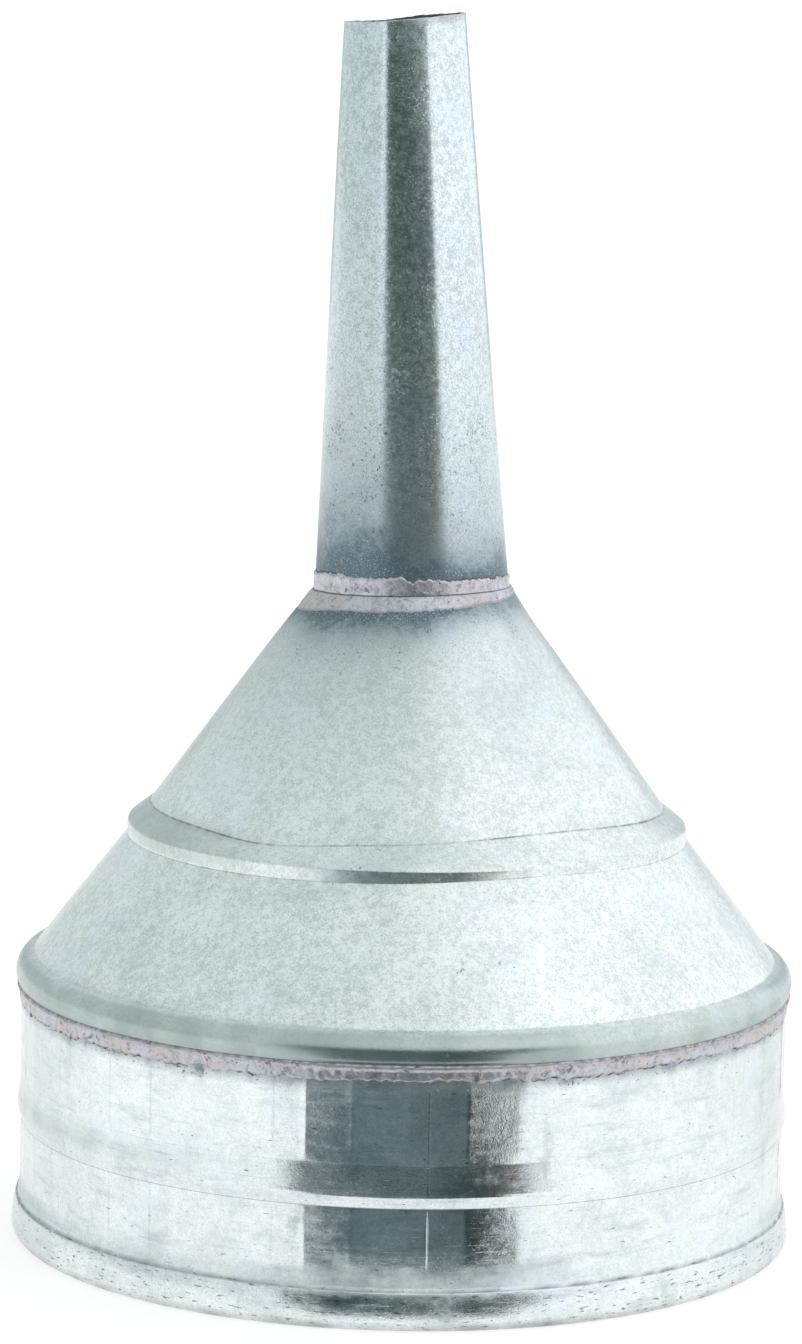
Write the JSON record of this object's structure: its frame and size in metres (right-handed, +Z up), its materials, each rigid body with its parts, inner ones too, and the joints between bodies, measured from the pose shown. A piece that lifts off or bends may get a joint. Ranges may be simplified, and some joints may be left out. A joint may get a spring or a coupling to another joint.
{
  "type": "fuel funnel",
  "caption": "Galvanised fuel funnel with a soldered tapered spout, stepped cone, beaded collar, wired rim and push-in gauze strainer.",
  "frame": {"origin": "centre of the plane that the wired rim of the mouth stands on", "axes": "+Z up the cone's axis from the mouth to the spout, -Y towards the collar's seam, -X the side that the spout leans to"},
  "size_m": [0.16, 0.16, 0.2483],
  "materials": {
    "zinc_spout": "mottled galvanised sheet",
    "zinc_cone": "mottled galvanised sheet",
    "zinc_collar": "scratched galvanised sheet",
    "solder": "dull, lumpy soft solder",
    "steel_wire": "plain drawn wire",
    "brass_strip": "dull",
    "brass_gauze": "woven wire cloth"
  },
  "bodies": {
    "funnel": {"collar": "zinc_collar", "cone": "zinc_cone", "spout": "zinc_spout", "rim_wire": "steel_wire", "spout_seam_solder": "solder", "neck_solder": "solder", "cone_seam_solder": "solder", "shoulder_solder": "solder", "collar_seam_solder": "solder"},
    "strainer": {"strainer_rim": "brass_strip", "strainer_gauze": "brass_gauze", "strainer_retainer": "brass_strip", "strainer_boss": "brass_strip", "strainer_pull": "brass_strip"}
  },
  "joints": [
    {"name": "strainer_slide", "type": "slide", "parent": "funnel", "child": "strainer", "axis": [0, 0, -1], "range_m": [0, 0.1]}
  ]
}
